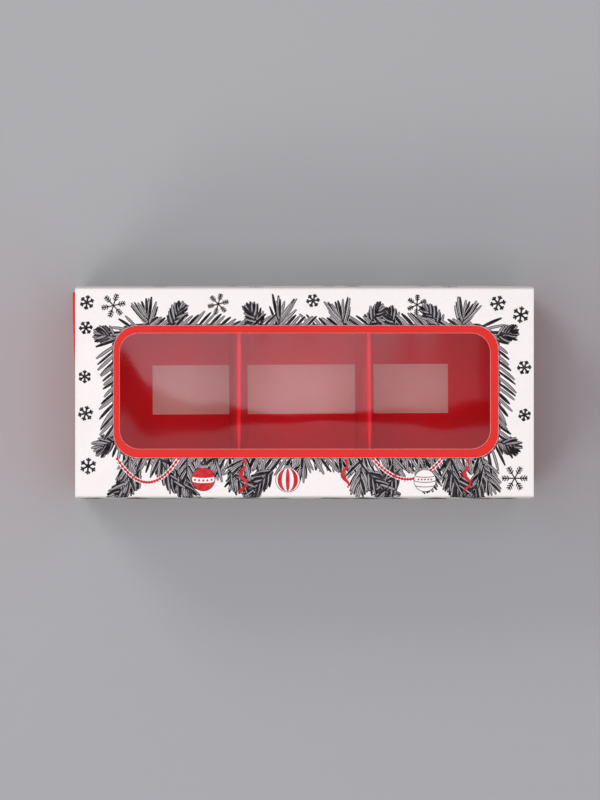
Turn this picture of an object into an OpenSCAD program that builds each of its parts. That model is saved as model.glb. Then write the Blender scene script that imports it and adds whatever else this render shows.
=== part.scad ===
// Carton for sweets: a folded sleeve with a film window, open at both ends, and a tray that slides
// through it. Each board is drawn panel by panel, parted at the middle of its creases.
// X runs along the box, Y to the back and Z up. The origin is in the middle of the footprint.

/* [Sleeve] */
// Length of the sleeve along the box
sleeve_length = 120; // [90:1:200]
// Width of the sleeve, measured over its long folds
sleeve_width = 55; // [48:0.5:90]
// Height of the sleeve
sleeve_height = 55; // [35:0.5:90]
// Thickness of the sleeve's board
sleeve_board = 0.4; // [0.3:0.05:0.6]
// Outer radius of the sleeve's long folds
sleeve_fold = 1.2; // [0.9:0.1:2]
// Swell of the front and back faces at half height
side_swell = 0.9; // [0.3:0.1:2]
// Width of the glue flap, measured from the back face
glue_flap_width = 12; // [8:0.5:20]
// Distance from the back face to the cut edge of the bottom panel
bottom_edge_gap = 1.8; // [1:0.1:4]
// Thickness of the glue under the flap and round the window
glue_thickness = 0.1; // [0.05:0.05:0.2]
// Bare strip between the glue and the cut edges near it
glue_setback = 1.5; // [0.5:0.1:2.5]

/* [Window] */
// Board between the window and each end of the sleeve
window_end_margin = 11.5; // [9.5:0.5:30]
// Board between the window and the front and back faces
window_side_margin = 12.35; // [11:0.05:18]
// Corner radius of the window
window_corner = 5; // [2:0.5:8]
// Thickness of the film
film_thickness = 0.2; // [0.1:0.05:0.3]
// How far the film reaches past the window on every side
film_overlap = 8; // [6:0.5:9]

/* [Tray] */
// Gap between the tray and the sleeve, at the front and at the back
tray_side_gap = 0.4; // [0.3:0.05:1.5]
// Gap between the rim of the tray and the film
tray_top_gap = 0.5; // [0.3:0.1:3]
// Gap between the floor of the tray and the glue flap
tray_bottom_gap = 0.05; // [0.05:0.05:0.5]
// How much shorter the tray is than the sleeve
tray_short = 0; // [0:0.1:3]
// How far the tray stands out at the left end when the box is closed
tray_peek = 0.7; // [0:0.1:5]
// Thickness of the tray's board
tray_board = 0.4; // [0.3:0.05:0.5]
// Outer radius of the tray's folds
tray_fold = 0.8; // [0.6:0.1:1.2]
// Air on each side of a corner tab inside an end wall
wall_air = 0.05; // [0.02:0.01:0.3]
// How far the cut edges of an end wall stop short of the long walls' faces
edge_setback = 0.15; // [0:0.05:0.3]
// Gap between the rims where they meet at the corners
rim_corner_gap = 0.15; // [0.05:0.05:0.5]
// Width of the flaps that lie on the tray's floor
flap_width = 18.5; // [10:0.5:20]
// Gap along the mitred ends of the flaps
mitre_gap = 0.4; // [0.2:0.1:1]
// Length of the corner tabs inside the end walls
tab_length = 20; // [10:1:22]
// Bevel on the free end of a corner tab
tab_bevel = 5; // [2:0.5:8]

/* [Dividers] */
// Distance between the ridges of the two dividers
divider_spacing = 34; // [24:1:44]
// Thickness of a divider's card
divider_board = 0.4; // [0.3:0.05:0.5]
// Outer radius of a divider's ridge
divider_ridge = 0.55; // [0.55:0.05:1]
// Width across the feet of a divider
divider_spread = 5; // [3:0.5:10]
// Depth of the ridge below the rim of the tray
divider_drop = 1.2; // [0.5:0.1:5]
// Gap between a divider and the walls at its ends
divider_end_gap = 0.3; // [0.1:0.05:1]
// Height of the ears that hang in the notches of the long walls
ear_height = 6; // [4:0.5:12]
// How far the ears stop short of the long walls' faces
ear_inset = 0.2; // [0.1:0.05:0.5]
// Clearance beside and below an ear in its notch
notch_gap = 0.15; // [0.1:0.05:0.5]

/* [Hidden] */

$fn = 48;
// Sides of the very large circle that gives a swelling face its curve
swell_sides = 720;
// Extra length of a cutting shape past what it cuts
cut_over = 1;
// Flat stretch that runs on from a fold into its panel, where the two are drawn apart
lap = 1;

white_print = "#f4f2ee";
bare_board = "#e8e4df";
red_print = "#c8161e";
glue_colour = "#efe6c4";
film_colour = "#dfe8ec";

half_width = sleeve_width / 2;
// The glue flap lies on the bottom panel and its glue, so the back face's lower fold starts here
flap_z = sleeve_board + glue_thickness;

window_size = [sleeve_length - 2 * window_end_margin, sleeve_width - 2 * window_side_margin];
film_size = window_size + 2 * [film_overlap, film_overlap];
film_z = sleeve_height - sleeve_board - glue_thickness - film_thickness;

wall = 3 * tray_board + 2 * wall_air;
rim = wall / 2;
tray_length = sleeve_length - tray_short;
tray_width = sleeve_width - 2 * (sleeve_board + tray_side_gap);
tray_z = flap_z + sleeve_board + tray_bottom_gap;
tray_height = film_z - tray_top_gap - tray_z;
tray_half = [tray_length / 2, tray_width / 2];

// Distance from the outer faces of an end wall to the axis of a vertical corner fold
corner_in = tray_board + wall_air + tray_fold;
// Distance from an outer face to the axis of the fold between a liner and its floor flap
flap_in = wall - tray_board + tray_fold;
mitre = mitre_gap / sqrt(2);

straight_height = tray_height - tray_fold - rim;
long_fold_length = tray_length - 2 * corner_in;
long_rim_length = tray_length - 2 * (wall + rim_corner_gap);
end_fold_length = tray_width - 2 * tray_fold;
end_wall_width = tray_width - 2 * edge_setback;
end_liner_width = tray_width - 2 * (wall - tray_board + wall_air);

ridge_z = tray_height - divider_drop - divider_ridge;
foot_z = 2 * tray_board;
ridge_rise = ridge_z - foot_z;
// Lean of a divider's leaves, which touch the ridge's round and end at the feet
lean = atan2(divider_spread / 2, ridge_rise)
    - asin(divider_ridge / norm([divider_spread / 2, ridge_rise]));
ear_foot_z = ridge_z + divider_ridge - ear_height;
ear_half_width = (divider_ridge + (ridge_z - ear_foot_z) * sin(lean)) / cos(lean);
notch_width = 2 * (ear_half_width + notch_gap);
notch_z = ear_foot_z - notch_gap;

// Carries an outline drawn in Y and Z along X, from both sides of the middle
module along_x(length) {
    rotate([90, 0, 90]) linear_extrude(length, center = true) children();
}

// Carries an outline drawn in X and Z along Y, from both sides of the middle
module along_y(length) {
    rotate([90, 0, 0]) linear_extrude(length, center = true) children();
}

// Rectangle about the origin with round corners
module rounded_rect(size, radius) {
    for (x = [-1, 1], y = [-1, 1])
        translate([x * (size.x / 2 - radius), y * (size.y / 2 - radius)]) circle(radius);
    square([size.x - 2 * radius, size.y], center = true);
    square([size.x, size.y - 2 * radius], center = true);
}

// Part of a folded board's round, between two angles about the fold's axis, with flat stretches of
// board that lead on from its first and its last angle
module fold_arc(radius, board, from, to, lead_from = 0, lead_to = 0) {
    reach = 2 * radius;
    intersection() {
        difference() {
            circle(radius);
            circle(radius - board);
        }
        polygon([[0, 0], for (angle = [from, (from + to) / 2, to]) reach * [cos(angle), sin(angle)]]);
    }
    if (lead_from > 0)
        rotate(from) translate([radius - board, -lead_from]) square([board, lead_from]);
    if (lead_to > 0)
        rotate(to) translate([radius - board, 0]) square([board, lead_to]);
}

// Section of a side face that stands on the height low: half folds and a gently swelling face
module side_section(low) {
    span = sleeve_height - low - 2 * sleeve_fold;
    swell_radius = (pow(span / 2, 2) + pow(side_swell, 2)) / (2 * side_swell);
    centre = [half_width + side_swell - swell_radius, low + sleeve_fold + span / 2];
    intersection() {
        difference() {
            translate(centre) circle(swell_radius, $fn = swell_sides);
            translate(centre - [sleeve_board, 0]) circle(swell_radius, $fn = swell_sides);
        }
        translate([0, low + sleeve_fold]) square([sleeve_width, span]);
    }
    translate([half_width - sleeve_fold, low + sleeve_fold]) fold_arc(sleeve_fold, sleeve_board, -45, 0);
    translate([half_width - sleeve_fold, sleeve_height - sleeve_fold])
        fold_arc(sleeve_fold, sleeve_board, 0, 45);
}

// Top panel with half of both upper folds and the window's cut
module sleeve_top() {
    color(white_print) difference() {
        along_x(sleeve_length) {
            translate([sleeve_fold - half_width, sleeve_height - sleeve_board])
                square([sleeve_width - 2 * sleeve_fold, sleeve_board]);
            for (side = [0, 1])
                mirror([side, 0]) translate([half_width - sleeve_fold, sleeve_height - sleeve_fold])
                    fold_arc(sleeve_fold, sleeve_board, 45, 90);
        }
        translate([0, 0, sleeve_height - sleeve_board - cut_over])
            linear_extrude(sleeve_board + 2 * cut_over) rounded_rect(window_size, window_corner);
    }
}

module sleeve_front() {
    color(white_print) along_x(sleeve_length) mirror([1, 0]) side_section(0);
}

module sleeve_back() {
    color(white_print) along_x(sleeve_length) side_section(flap_z);
}

// Bottom panel with half of the lower front fold, cut off just short of the back face
module sleeve_bottom() {
    color(white_print) along_x(sleeve_length) {
        translate([sleeve_fold - half_width, 0])
            square([sleeve_width - sleeve_fold - bottom_edge_gap, sleeve_board]);
        translate([sleeve_fold - half_width, sleeve_fold]) fold_arc(sleeve_fold, sleeve_board, 225, 270);
    }
}

// Flap that turns in from the back face and is glued onto the bottom panel from inside
module sleeve_glue_flap() {
    color(bare_board) along_x(sleeve_length) {
        translate([half_width - glue_flap_width, flap_z])
            square([glue_flap_width - sleeve_fold, sleeve_board]);
        translate([half_width - sleeve_fold, flap_z + sleeve_fold])
            fold_arc(sleeve_fold, sleeve_board, -90, -45);
    }
}

// Layer of glue between the bottom panel and the flap on it
module seam_glue() {
    back_edge = max(sleeve_fold, bottom_edge_gap) + glue_setback;
    color(glue_colour) along_x(sleeve_length - 2 * glue_setback)
        translate([half_width - glue_flap_width + glue_setback, sleeve_board])
            square([glue_flap_width - glue_setback - back_edge, glue_thickness]);
}

module window_film() {
    color(film_colour, 0.35) translate([0, 0, film_z])
        linear_extrude(film_thickness) square(film_size, center = true);
}

// Frame of glue that holds the film under the top panel
module window_glue() {
    inset = 2 * [glue_setback, glue_setback];
    color(glue_colour) translate([0, 0, film_z + film_thickness]) linear_extrude(glue_thickness)
        difference() {
            square(film_size - inset, center = true);
            rounded_rect(window_size + inset, window_corner + glue_setback);
        }
}

// Puts the tray's own frame, in the middle of its underside, where it is in the closed box
module in_sleeve() {
    translate([-tray_peek, 0, tray_z]) children();
}

// Notches that the dividers' ears drop into, cut through both layers of the long walls
module notches() {
    for (x = [-1, 1])
        translate([x * divider_spacing / 2 - notch_width / 2, -tray_width, notch_z])
            cube([notch_width, 2 * tray_width, tray_height - notch_z + cut_over]);
}

// Section of an outer wall, half its lower fold or half its rim, at a distance out from the middle
module outer_straight(out) {
    translate([out - tray_board, tray_fold]) square([tray_board, straight_height]);
}

module outer_lower_fold(out) {
    translate([out - tray_fold, tray_fold]) fold_arc(tray_fold, tray_board, -45, 0, lead_to = lap);
}

module outer_rim(out) {
    translate([out - rim, tray_height - rim]) fold_arc(rim, tray_board, 0, 90, lead_from = lap);
}

// Section of a liner with its half of the rim, and the two halves of the fold to its floor flap
module liner_upright(out) {
    foot = tray_board + tray_fold;
    translate([out - rim, tray_height - rim]) fold_arc(rim, tray_board, 90, 180);
    translate([out - wall, foot]) square([tray_board, tray_height - rim - foot]);
}

module liner_fold(out) {
    translate([out - flap_in, tray_board + tray_fold])
        fold_arc(tray_fold, tray_board, -45, 0, lead_to = lap);
}

module flap_fold(out) {
    translate([out - flap_in, tray_board + tray_fold])
        fold_arc(tray_fold, tray_board, -90, -45, lead_from = mitre);
}

// Bottom of the tray, with its half of the four folds round it
module tray_floor() {
    color(bare_board) in_sleeve() {
        translate([tray_fold - tray_half.x, tray_fold - tray_half.y, 0])
            cube([tray_length - 2 * tray_fold, tray_width - 2 * tray_fold, tray_board]);
        for (side = [0, 1]) {
            mirror([0, side, 0]) along_x(long_fold_length)
                translate([tray_half.y - tray_fold, tray_fold])
                    fold_arc(tray_fold, tray_board, -90, -45, lead_from = lap);
            mirror([side, 0, 0]) along_y(end_fold_length)
                translate([tray_half.x - tray_fold, tray_fold])
                    fold_arc(tray_fold, tray_board, -90, -45, lead_from = lap);
        }
    }
}

// Outer layer of a long wall, drawn at the back and mirrored to the front
module long_wall() {
    color(red_print) difference() {
        union() {
            along_x(long_fold_length) {
                outer_straight(tray_half.y);
                outer_lower_fold(tray_half.y);
            }
            along_x(long_rim_length) outer_rim(tray_half.y);
            for (side = [0, 1])
                mirror([side, 0, 0]) translate([tray_half.x - corner_in, tray_half.y - tray_fold, tray_fold])
                    linear_extrude(straight_height) fold_arc(tray_fold, tray_board, 45, 90, lead_to = lap);
        }
        notches();
    }
}

// Outer layer of an end wall, drawn at the right and mirrored to the left
module end_wall() {
    color(red_print) {
        along_y(end_wall_width) {
            outer_straight(tray_half.x);
            outer_rim(tray_half.x);
        }
        along_y(end_fold_length) outer_lower_fold(tray_half.x);
    }
}

// Inner layer of a long wall, turned in over the rim
module long_liner() {
    color(red_print) difference() {
        union() {
            along_x(long_rim_length) liner_upright(tray_half.y);
            along_x(tray_length - 2 * (flap_in + mitre)) liner_fold(tray_half.y);
        }
        notches();
    }
}

// Inner layer of an end wall, turned in over the rim and the corner tabs
module end_liner() {
    color(red_print) {
        along_y(end_liner_width) liner_upright(tray_half.x);
        along_y(tray_width - 2 * (flap_in + mitre)) liner_fold(tray_half.x);
    }
}

// Flap with mitred ends that carries a long liner on over the floor
module long_flap() {
    near = tray_half - [flap_in + mitre, flap_in];
    far = tray_half - [wall + flap_width + mitre, wall + flap_width];
    color(red_print) {
        translate([0, 0, tray_board]) linear_extrude(tray_board)
            polygon([near, far, [-far.x, far.y], [-near.x, near.y]]);
        along_x(2 * near.x) flap_fold(tray_half.y);
    }
}

// Flap with mitred ends that carries an end liner on over the floor
module end_flap() {
    near = tray_half - [flap_in, flap_in + mitre];
    far = tray_half - [wall + flap_width, wall + flap_width + mitre];
    color(red_print) {
        translate([0, 0, tray_board]) linear_extrude(tray_board)
            polygon([near, far, [far.x, -far.y], [near.x, -near.y]]);
        along_y(2 * near.y) flap_fold(tray_half.x);
    }
}

// Tab that turns from a long wall into the right end wall, drawn at the back
module corner_tab() {
    outer_x = tray_half.x - tray_board - wall_air;
    near_y = tray_half.y - tray_fold;
    far_y = near_y - tab_length;
    top = tray_fold + straight_height;
    color(red_print) {
        translate([outer_x - tray_board / 2, 0, 0]) along_x(tray_board)
            polygon([
                [near_y, tray_fold], [near_y, top],
                [far_y + tab_bevel, top], [far_y, top - tab_bevel],
                [far_y, tray_fold + tab_bevel], [far_y + tab_bevel, tray_fold]
            ]);
        translate([tray_half.x - corner_in, near_y, tray_fold])
            linear_extrude(straight_height) fold_arc(tray_fold, tray_board, 0, 45, lead_from = lap);
    }
}

// Section of a divider: two leaves that lean together and meet in a round ridge
module divider_section() {
    leaf = ridge_rise / cos(lean) + cut_over;
    intersection() {
        translate([0, ridge_z]) {
            fold_arc(divider_ridge, divider_board, lean, 180 - lean);
            for (side = [0, 1])
                mirror([side, 0]) rotate(lean) translate([divider_ridge - divider_board, -leaf])
                    square([divider_board, leaf]);
        }
        translate([-divider_spread, foot_z]) square([2 * divider_spread, tray_height]);
    }
}

// Folded card that stands across the tray, with ears at the top of both ends
module divider() {
    color(red_print) {
        along_y(tray_width - 2 * (wall + divider_end_gap)) divider_section();
        along_y(tray_width - 2 * ear_inset) intersection() {
            divider_section();
            translate([-divider_spread, ear_foot_z]) square([2 * divider_spread, ear_height]);
        }
    }
}

sleeve_top();
sleeve_front();
sleeve_back();
sleeve_bottom();
sleeve_glue_flap();
seam_glue();
window_film();
window_glue();
tray_floor();
in_sleeve() mirror([0, 1, 0]) long_wall();  // tray_front_wall
in_sleeve() long_wall();  // tray_back_wall
in_sleeve() mirror([1, 0, 0]) end_wall();  // tray_left_wall
in_sleeve() end_wall();  // tray_right_wall
in_sleeve() mirror([0, 1, 0]) long_liner();  // tray_front_liner
in_sleeve() long_liner();  // tray_back_liner
in_sleeve() mirror([1, 0, 0]) end_liner();  // tray_left_liner
in_sleeve() end_liner();  // tray_right_liner
in_sleeve() mirror([0, 1, 0]) long_flap();  // floor_flap_front
in_sleeve() long_flap();  // floor_flap_back
in_sleeve() mirror([1, 0, 0]) end_flap();  // floor_flap_left
in_sleeve() end_flap();  // floor_flap_right
in_sleeve() mirror([1, 0, 0]) mirror([0, 1, 0]) corner_tab();  // corner_tab_front_left
in_sleeve() mirror([0, 1, 0]) corner_tab();  // corner_tab_front_right
in_sleeve() mirror([1, 0, 0]) corner_tab();  // corner_tab_back_left
in_sleeve() corner_tab();  // corner_tab_back_right
in_sleeve() translate([-divider_spacing / 2, 0, 0]) divider();  // divider_left
in_sleeve() translate([divider_spacing / 2, 0, 0]) divider();  // divider_right
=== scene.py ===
import math
import bpy
import numpy as np
from mathutils import Matrix, Vector


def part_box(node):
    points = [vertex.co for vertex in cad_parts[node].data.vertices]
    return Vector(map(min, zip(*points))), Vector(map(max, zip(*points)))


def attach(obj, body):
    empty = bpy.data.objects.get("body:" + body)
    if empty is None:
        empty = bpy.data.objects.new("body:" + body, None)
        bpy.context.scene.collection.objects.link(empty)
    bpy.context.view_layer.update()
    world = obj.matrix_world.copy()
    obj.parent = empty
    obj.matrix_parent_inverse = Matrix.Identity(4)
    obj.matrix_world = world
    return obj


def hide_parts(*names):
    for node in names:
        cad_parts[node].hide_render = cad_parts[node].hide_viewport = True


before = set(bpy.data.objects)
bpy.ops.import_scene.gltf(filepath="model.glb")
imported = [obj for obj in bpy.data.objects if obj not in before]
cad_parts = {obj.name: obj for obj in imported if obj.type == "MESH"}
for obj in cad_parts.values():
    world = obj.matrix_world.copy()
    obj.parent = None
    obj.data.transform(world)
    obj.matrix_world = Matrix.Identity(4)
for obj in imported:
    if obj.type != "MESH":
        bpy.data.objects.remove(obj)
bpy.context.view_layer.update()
scene = bpy.context.scene
scene.view_settings.view_transform = "Standard"
scene.cycles.diffuse_bounces = 24
scene.cycles.max_bounces = 32  # the tray is a deep red well, lit mostly by light off its own walls
mm = 0.001  # shapes are worked out in millimetres and put into the meshes in metres


def nodeBox(node):
    # lowest and highest corner of a CAD node, in millimetres
    low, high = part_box(node)
    return np.array(low) / mm, np.array(high) / mm


# meshes from arrays

def gridFaces(rows, cols):
    # four corners of every cell of a grid whose points run row by row
    index = np.arange(rows * cols).reshape(rows, cols)
    return np.stack([index[:-1, :-1], index[:-1, 1:], index[1:, 1:], index[1:, :-1]], -1).reshape(-1, 4)


def faceTowards(points, faces, outward):
    # a grid has one winding all over, so its first face tells whether to turn them all round
    a, b, c = points[faces[0, 0]], points[faces[0, 1]], points[faces[0, 2]]
    return faces if np.dot(np.cross(b - a, c - b), outward) > 0 else faces[:, ::-1]


def weld(points, faces):
    # points that share a place, to a ten-thousandth of a millimetre, become one
    _, first, back = np.unique(np.round(points, 4), axis=0, return_index=True, return_inverse=True)
    return points[first], back.ravel()[faces], first


def makePiece(name, points, faces, materials, slots=None, board=0.0, floats=None, sharp=38):
    # board > 0 gives the sheet its thickness on the side away from its faces, with the materials in
    # three equal lots: printed side, reverse, cut edge
    mesh = bpy.data.meshes.new(name)
    mesh.from_pydata((points * mm).tolist(), [], faces if isinstance(faces, list) else faces.tolist())
    for material in materials:
        mesh.materials.append(material)
    if slots is not None:
        mesh.polygons.foreach_set("material_index", np.asarray(slots, np.int32))
    for label, values in (floats or {}).items():
        mesh.attributes.new(label, "FLOAT", "POINT").data.foreach_set("value", values.astype(np.float32))
    mesh.update()
    piece = bpy.data.objects.new(name, mesh)
    scene.collection.objects.link(piece)
    if board > 0:
        lot = len(materials) // 3
        solid = piece.modifiers.new("board", "SOLIDIFY")
        solid.thickness, solid.offset = board * mm, -1
        solid.use_even_offset = True
        solid.material_offset, solid.material_offset_rim = lot, 2 * lot
        graph = bpy.context.evaluated_depsgraph_get()
        thick = bpy.data.meshes.new_from_object(
            piece.evaluated_get(graph), preserve_all_data_layers=True, depsgraph=graph)
        piece.modifiers.clear()
        piece.data = thick
        thick.name = name
    piece.data.shade_smooth()
    piece.data.set_sharp_from_angle(angle=math.radians(sharp))
    return piece


def smoothStep(x, low, high):
    t = np.clip((np.asarray(x, float) - low) / (high - low), 0, 1)
    return t * t * (3 - 2 * t)


# materials

def linear(*rgb):
    # screen colour 0-255 to linear light
    c = np.array(rgb, float) / 255
    return tuple(np.where(c <= 0.04045, c / 12.92, ((c + 0.055) / 1.055) ** 2.4)) + (1.0,)


class Shader:
    # a material with short calls for its nodes
    def __init__(self, name):
        self.material = bpy.data.materials.new(name)
        self.material.use_nodes = True
        self.tree = self.material.node_tree
        self.surface = self.tree.nodes["Principled BSDF"]
        self.place = self.node("ShaderNodeTexCoord").outputs["Object"]

    def node(self, kind, **values):
        made = self.tree.nodes.new(kind)
        for key, value in values.items():
            setattr(made, key, value)
        return made

    def link(self, source, target):
        self.tree.links.new(source, target)

    def noise(self, scale, detail=3.0, rough=0.55, stretch=None, distortion=0.0):
        made = self.node("ShaderNodeTexNoise")
        made.inputs["Scale"].default_value = scale
        made.inputs["Detail"].default_value = detail
        made.inputs["Roughness"].default_value = rough
        made.inputs["Distortion"].default_value = distortion
        source = self.place
        if stretch:
            mapping = self.node("ShaderNodeMapping")
            mapping.inputs["Scale"].default_value = stretch
            self.link(source, mapping.inputs["Vector"])
            source = mapping.outputs["Vector"]
        self.link(source, made.inputs["Vector"])
        return made.outputs["Fac"]

    def span(self, value, low, high, toLow=0.0, toHigh=1.0):
        made = self.node("ShaderNodeMapRange", interpolation_type="SMOOTHSTEP")
        for key, number in (("From Min", low), ("From Max", high), ("To Min", toLow), ("To Max", toHigh)):
            made.inputs[key].default_value = number
        self.link(value, made.inputs["Value"])
        return made.outputs["Result"]

    def blend(self, factor, first, second):
        made = self.node("ShaderNodeMix", data_type="RGBA")
        for socket, colour in ((made.inputs["A"], first), (made.inputs["B"], second)):
            if isinstance(colour, tuple):
                socket.default_value = colour
            else:
                self.link(colour, socket)
        self.link(factor, made.inputs["Factor"])
        return made.outputs["Result"]

    def times(self, first, second, operation="MULTIPLY"):
        made = self.node("ShaderNodeMath", operation=operation, use_clamp=True)
        for socket, value in zip(made.inputs, (first, second)):
            if isinstance(value, (int, float)):
                socket.default_value = value
            else:
                self.link(value, socket)
        return made.outputs["Value"]

    def attribute(self, label):
        return self.node("ShaderNodeAttribute", attribute_name=label).outputs["Fac"]

    def bump(self, height, distance, strength=1.0, under=None):
        made = self.node("ShaderNodeBump")
        made.inputs["Distance"].default_value = distance
        made.inputs["Strength"].default_value = strength
        self.link(height, made.inputs["Height"])
        if under is not None:
            self.link(under, made.inputs["Normal"])
        return made.outputs["Normal"]


def boardMaterial(name, look):
    # folding boxboard: cloudy tone, fibres, a faint coarse unevenness, and a paler tone along creases: ink
    # worn off the folds, on the divider crests partly a painted highlight
    s = Shader(name)
    fibre = s.noise(look["fibreScale"], 4, 0.6, stretch=(0.45, 1.0, 1.0))
    cloud = s.noise(look["cloudScale"], 3, 0.5)
    tone = s.blend(s.span(cloud, 0.3, 0.7), look["colour"], look["cloudColour"])
    tone = s.blend(s.span(fibre, 0.35, 0.75, 0, look["fibreShow"]), tone, look["fibreColour"])
    if look.get("worn"):
        grain = s.span(s.noise(1500, 3, 0.7), 0.35, 0.65)
        worn = s.times(s.attribute("crease"), grain)
        tone = s.blend(s.times(worn, look["worn"]), tone, look["wornColour"])
    s.link(tone, s.surface.inputs["Base Color"])
    s.link(s.span(fibre, 0.2, 0.8, look["roughness"] - 0.05, look["roughness"] + 0.07),
           s.surface.inputs["Roughness"])
    s.surface.inputs["Specular IOR Level"].default_value = look["specular"]
    coarse = s.bump(s.noise(240, 2, 0.5), look["coarseBump"])
    s.link(s.bump(fibre, look["fineBump"], under=coarse), s.surface.inputs["Normal"])
    return s.material


whitePaper = {
    "colour": linear(251, 242, 239), "cloudColour": linear(249, 240, 237), "cloudScale": 70,
    "fibreColour": linear(242, 232, 229), "fibreScale": 2400, "fibreShow": 0.35,
    "roughness": 0.5, "specular": 0.3, "coarseBump": 0.00003, "fineBump": 0.000008,
    "worn": 0.35, "wornColour": linear(236, 224, 216),
}
borderRed = dict(whitePaper, colour=linear(229, 50, 45), cloudColour=linear(227, 47, 42),
                 fibreColour=linear(232, 56, 50), fibreShow=0.25, specular=0.1,
                 wornColour=linear(240, 190, 180))
trayRed = {
    "colour": linear(240, 16, 32), "cloudColour": linear(237, 14, 30), "cloudScale": 60,
    "fibreColour": linear(242, 24, 40), "fibreScale": 2100, "fibreShow": 0.25,
    "roughness": 0.55, "specular": 0.06, "coarseBump": 0.00004, "fineBump": 0.00001,
    # paler colour on rims and folds; on the dividers' crests it is partly a painted highlight
    "worn": 0.25, "wornColour": linear(236, 74, 70),
}
bareBoard = {
    "colour": linear(246, 238, 230), "cloudColour": linear(242, 233, 224), "cloudScale": 90,
    "fibreColour": linear(230, 218, 206), "fibreScale": 1900, "fibreShow": 0.35,
    "roughness": 0.78, "specular": 0.25, "coarseBump": 0.00005, "fineBump": 0.00003,
}
# reverse of the tray board: pale board with a pink tint that is painted light, standing in for red light
# bounced off the red walls
trayBareRedBounce = dict(bareBoard, colour=linear(248, 208, 195), cloudColour=linear(245, 203, 189),
                fibreColour=linear(236, 188, 174))
cutBoard = dict(bareBoard, colour=linear(238, 228, 216), cloudColour=linear(230, 218, 204),
                fibreColour=linear(206, 190, 172), fibreScale=3200)

paperWhite = boardMaterial("white printed board", whitePaper)
paperBorder = boardMaterial("red printed border", borderRed)
boardRed = boardMaterial("red tray board", trayRed)
boardBare = boardMaterial("bare board", bareBoard)
boardRearRedBounce = boardMaterial("tray board's reverse with painted red bounce", trayBareRedBounce)
boardCut = boardMaterial("cut board edge", cutBoard)


def glueMaterial():
    # dried adhesive: milky, with streaks along its spreading direction
    s = Shader("dried glue")
    streak = s.noise(500, 3, 0.6, stretch=(0.15, 1, 1))
    s.link(s.blend(s.span(streak, 0.3, 0.7), linear(232, 224, 196), linear(214, 204, 172)),
           s.surface.inputs["Base Color"])
    s.link(s.span(streak, 0.3, 0.7, 0.25, 0.5), s.surface.inputs["Roughness"])
    s.link(s.bump(streak, 0.00004), s.surface.inputs["Normal"])
    return s.material


def filmMaterial(name, shine):
    # clear film: what is behind shows through, and the outer side adds the mirror of what is above
    s = Shader(name)
    out = s.tree.nodes["Material Output"]
    clear = s.node("ShaderNodeBsdfTransparent")
    if not shine:
        s.link(clear.outputs[0], out.inputs["Surface"])
        clear.inputs["Color"].default_value = (1, 1, 1, 1)
        return s.material
    clear.inputs["Color"].default_value = (0.995, 0.995, 0.995, 1)
    gloss = s.node("ShaderNodeBsdfGlossy")
    gloss.inputs["Roughness"].default_value = 0.02
    # share mirrored = head on + (1 - head on) times the fifth power of (1 - cosine), from either side
    edge = s.node("ShaderNodeLayerWeight")
    edge.inputs["Blend"].default_value = 0.5
    slant = s.times(edge.outputs["Facing"], 5.0, "POWER")
    share = s.node("ShaderNodeMapRange")
    share.inputs["To Min"].default_value = shine
    s.link(slant, share.inputs["Value"])
    rub = s.bump(s.noise(900, 3, 0.6, stretch=(0.3, 1, 1)), 0.0000001)
    s.link(rub, gloss.inputs["Normal"])
    mixed = s.node("ShaderNodeMixShader")
    s.link(share.outputs["Result"], mixed.inputs[0])
    s.link(clear.outputs[0], mixed.inputs[1])
    s.link(gloss.outputs[0], mixed.inputs[2])
    s.link(mixed.outputs[0], out.inputs["Surface"])
    return s.material


driedGlue = glueMaterial()
filmOuter = filmMaterial("clear film", 0.08)  # both sides of the film as one
filmInner = filmMaterial("clear film inside", 0)
print("materials made")

# camera
view = {"distance": 1500, "over": (-23, 8), "aim": (-1.2, -1.9), "angle": 7.98}
topZ = nodeBox("sleeve_top")[1][2]

camera = bpy.data.objects.new("camera", bpy.data.cameras.new("camera"))
scene.collection.objects.link(camera)
scene.camera = camera
camera.data.sensor_fit = "VERTICAL"
camera.data.angle = math.radians(view["angle"])
camera.data.clip_start, camera.data.clip_end = 0.01, 20
eye = np.array([*view["over"], topZ + view["distance"]]) * mm
back = eye - np.array([*view["aim"], topZ]) * mm
back /= np.linalg.norm(back)
right = np.cross([0, 1, 0], back)
right /= np.linalg.norm(right)
up = np.cross(back, right)
camera.matrix_world = Matrix([[right[i], up[i], back[i], eye[i]] for i in range(3)] + [[0, 0, 0, 1]])

# sleeve: one blank carried round the girth
carton = {
    "width": 55.0,  # over the long folds
    "board": 0.4,
    "fold": 0.75,  # outer radius of the long folds
    "swell": 0.86,  # of the front and back faces at half height
    "inset": 0.075,  # room for the ink on every face
    "bottomStop": nodeBox("sleeve_bottom")[1][1],  # where the bottom panel's cut edge lies
    "flapStop": nodeBox("sleeve_glue_flap")[0][1],
    "flapZ": nodeBox("sleeve_glue_flap")[0][2],
    "half": nodeBox("sleeve_top")[1][0] - 0.005,
    "height": topZ,
    "sag": 0.16,  # of the top panel beside the window
    "foldWander": 0.12,  # how far the long folds wander in from a straight line
}
window = {
    "size": (97.0, 30.3), "corner": 5.0,
    "offset": (0.13, 0.45),  # the die cut sits this far off the middle
    "borderLow": (-49.95, -17.0), "borderHigh": (50.7, 17.6), "borderCorner": 6.4,
    "lip": 0.05,  # chipped ink along the cut
}


def arcRun(centre, radius, start, end, count):
    # points and outward normals on a circle between two angles in degrees
    angle = np.radians(np.linspace(start, end, count))
    normal = np.stack([np.cos(angle), np.sin(angle)], -1)
    return np.asarray(centre) + radius * normal, normal


def lineRun(start, end, normal, count):
    t = np.linspace(0, 1, count)[:, None]
    return np.asarray(start) * (1 - t) + np.asarray(end) * t, np.tile(normal, (count, 1)).astype(float)


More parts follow.
